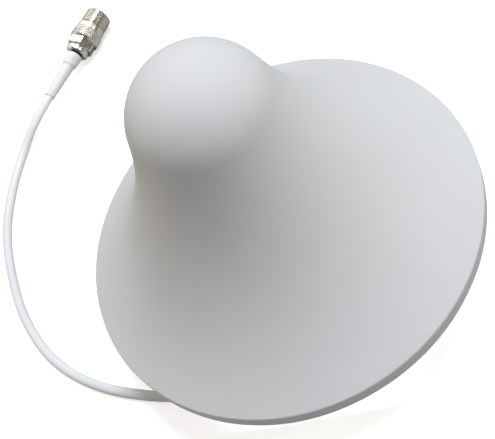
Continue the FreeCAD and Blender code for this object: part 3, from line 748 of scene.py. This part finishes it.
def studio_floor():
    """A pale floor, darker in the light that it throws back than to the camera.

    Its glow, which only the camera sees, lifts the shadows and grows outwards into the white
    of the backdrop."""
    finish = Finish("studio_floor", 0.9, Emission_Color=(1.0, 1.0, 1.0, 1.0))
    finish.colour(finish.noise(150.0), (0.93, 0.93, 0.93), (0.95, 0.95, 0.95))
    tree, shader = finish.material.node_tree, finish.shader
    paint = shader.inputs["Base Color"].links[0].from_socket
    tone = finish.nodes.new("ShaderNodeVectorMath")
    tone.operation = "SCALE"
    tree.links.new(paint, tone.inputs[0])
    tree.links.new(light_path_switch(tree, "Is Camera Ray", FLOOR_BOUNCE, 1.0),
                   tone.inputs["Scale"])
    tree.links.new(tone.outputs["Vector"], shader.inputs["Base Color"])
    from_middle = finish.nodes.new("ShaderNodeVectorMath")
    from_middle.operation = "LENGTH"
    tree.links.new(finish.place, from_middle.inputs[0])
    outwards = finish.nodes.new("ShaderNodeMapRange")
    for socket, value in (("From Min", GLOW_STARTS), ("From Max", GLOW_FULL),
                          ("To Min", FLOOR_GLOW), ("To Max", BACKDROP)):
        outwards.inputs[socket].default_value = value
    tree.links.new(from_middle.outputs["Value"], outwards.inputs["Value"])
    glow = finish.nodes.new("ShaderNodeMath")
    glow.operation = "MULTIPLY"
    tree.links.new(outwards.outputs["Result"], glow.inputs[0])
    tree.links.new(light_path_switch(tree, "Is Camera Ray", 0.0, 1.0), glow.inputs[1])
    tree.links.new(glow.outputs["Value"], shader.inputs["Emission Strength"])
    return finish.bump(finish.noise(3.0), 0.02).material


FINISHES = {maker.__name__: maker() for maker in (
    white_plastic, base_plastic, grey_rubber, zinc_screw, aluminium_sheet, nylon, brass,
    cable_jacket, white_sleeve, tinned_copper, ptfe, nickel, black_ferrule,
    gold_contact)}


# ---- what each piece wears and which body it rides on ------------------------------------

def dress(piece, slot_name):
    piece.data.materials.clear()
    piece.data.materials.append(FINISHES[slot_name])


for part in frame["record"]["subparts"]:
    dress(frame["nodes"][part["node"]], part["material_slot"])

NEW_PIECES = (
    (cable, "antenna", "cable_jacket"),
    (stem, "antenna", "base_plastic"),
    (washer, "washer", "grey_rubber"),
    (nut, "nut", "base_plastic"),
    (taper_sleeve, "antenna", "white_sleeve"),
    (wide_sleeve, "antenna", "white_sleeve"),
    (back_ring, "antenna", "nickel"),
    (hex_nut, "antenna", "nickel"),
    (knurled_ring, "antenna", "nickel"),
    (shell, "antenna", "nickel"),
)
for piece, body, slot_name in NEW_PIECES:
    dress(piece, slot_name)
    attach(piece, body)

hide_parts("signal_cord")
on_cable = [taper_sleeve, wide_sleeve, back_ring, hex_nut, knurled_ring, shell]
on_cable += [frame["nodes"][name] for name in (
    "crimp_ferrule", "cord_end_jacket", "cord_end_braid", "cord_end_dielectric",
    "cord_end_conductor", "jack_insulator", "jack_contact")]


# ---- floor and light ---------------------------------------------------------------------

FLOOR_HALF = 3.0                    # metres from the middle to each side
UNDER_PLATE = (0.0, 0.0, -0.016)    # the middle of the stem, under the plate

# name, azimuth and elevation in degrees, distance, width and height in metres, power in
# watts, colour, the point it stands round and faces
LIGHTS = (
    ("key_light", 160.0, 70.0, 3.6, 1.35, 1.35, 103.0, (0.82, 0.905, 0.985), (0.0, 0.0, 0.0)),
    ("top_light", 0.0, 88.0, 3.6, 2.7, 2.7, 31.0, (1.0, 0.87, 0.93), (0.0, 0.0, 0.0)),
    ("left_fill", 296.0, 20.0, 3.0, 2.0, 2.0, 20.5, (1.0, 0.92, 0.68), (0.0, 0.0, 0.0)),
    ("right_fill", 112.0, 34.0, 3.0, 1.25, 1.25, 14.5, (1.0, 0.95, 0.74), (0.0, 0.0, 0.0)),
    ("back_fill", 185.0, 30.0, 3.0, 2.0, 1.5, 4.0, (1.0, 0.75, 0.55), (0.0, 0.0, 0.0)),
    ("jack_light", 242.2, 46.5, 0.085, 0.055, 0.115, 0.032, (1.0, 0.98, 1.0),
     (JACK_X, 0.098, JACK_Z)),
    ("stem_light_front", 30.0, 0.0, 0.082, 0.07, 0.014, 0.012, (1.0, 1.0, 1.0), UNDER_PLATE),
    ("stem_light_right", 120.0, 0.0, 0.082, 0.07, 0.014, 0.012, (1.0, 1.0, 1.0), UNDER_PLATE),
    ("stem_light_back", 240.0, 0.0, 0.082, 0.07, 0.014, 0.012, (1.0, 1.0, 1.0), UNDER_PLATE),
)


def make_floor():
    """A plain square under the part, which is no piece of it."""
    mesh = bpy.data.meshes.new("floor")
    corners = [(-FLOOR_HALF, -FLOOR_HALF), (FLOOR_HALF, -FLOOR_HALF),
               (FLOOR_HALF, FLOOR_HALF), (-FLOOR_HALF, FLOOR_HALF)]
    mesh.from_pydata([(x, y, FLOOR_Z) for x, y in corners], [], [(0, 1, 2, 3)])
    mesh.materials.append(studio_floor())
    floor = add_to_scene("floor", mesh)


def make_light(name, azimuth, elevation, distance, width, height, power, colour, aim):
    """A rectangular lamp that the camera doesn't see."""
    turn, rise = math.radians(azimuth), math.radians(elevation)
    towards = Vector((math.sin(turn) * math.cos(rise), -math.cos(turn) * math.cos(rise),
                      math.sin(rise)))
    data = bpy.data.lights.new(name, "AREA")
    data.shape = "RECTANGLE"
    data.size = width
    data.size_y = height
    data.energy = power
    data.color = colour
    light = add_to_scene(name, data)
    light.location = Vector(aim) + towards * distance
    light.rotation_mode = "QUATERNION"
    light.rotation_quaternion = (-towards).to_track_quat("-Z", "Y")
    light.visible_camera = False


def make_world():
    """White to the camera, and almost dark to the part."""
    world = bpy.data.worlds.new("studio")
    bpy.context.scene.world = world
    world.use_nodes = True
    background = world.node_tree.nodes["Background"]
    background.inputs["Color"].default_value = (1.0, 1.0, 1.0, 1.0)
    strength = light_path_switch(world.node_tree, "Is Camera Ray", AMBIENT, BACKDROP)
    world.node_tree.links.new(strength, background.inputs["Strength"])


make_floor()
make_world()
for settings in LIGHTS:
    make_light(*settings)
bpy.context.scene.view_settings.view_transform = "Standard"
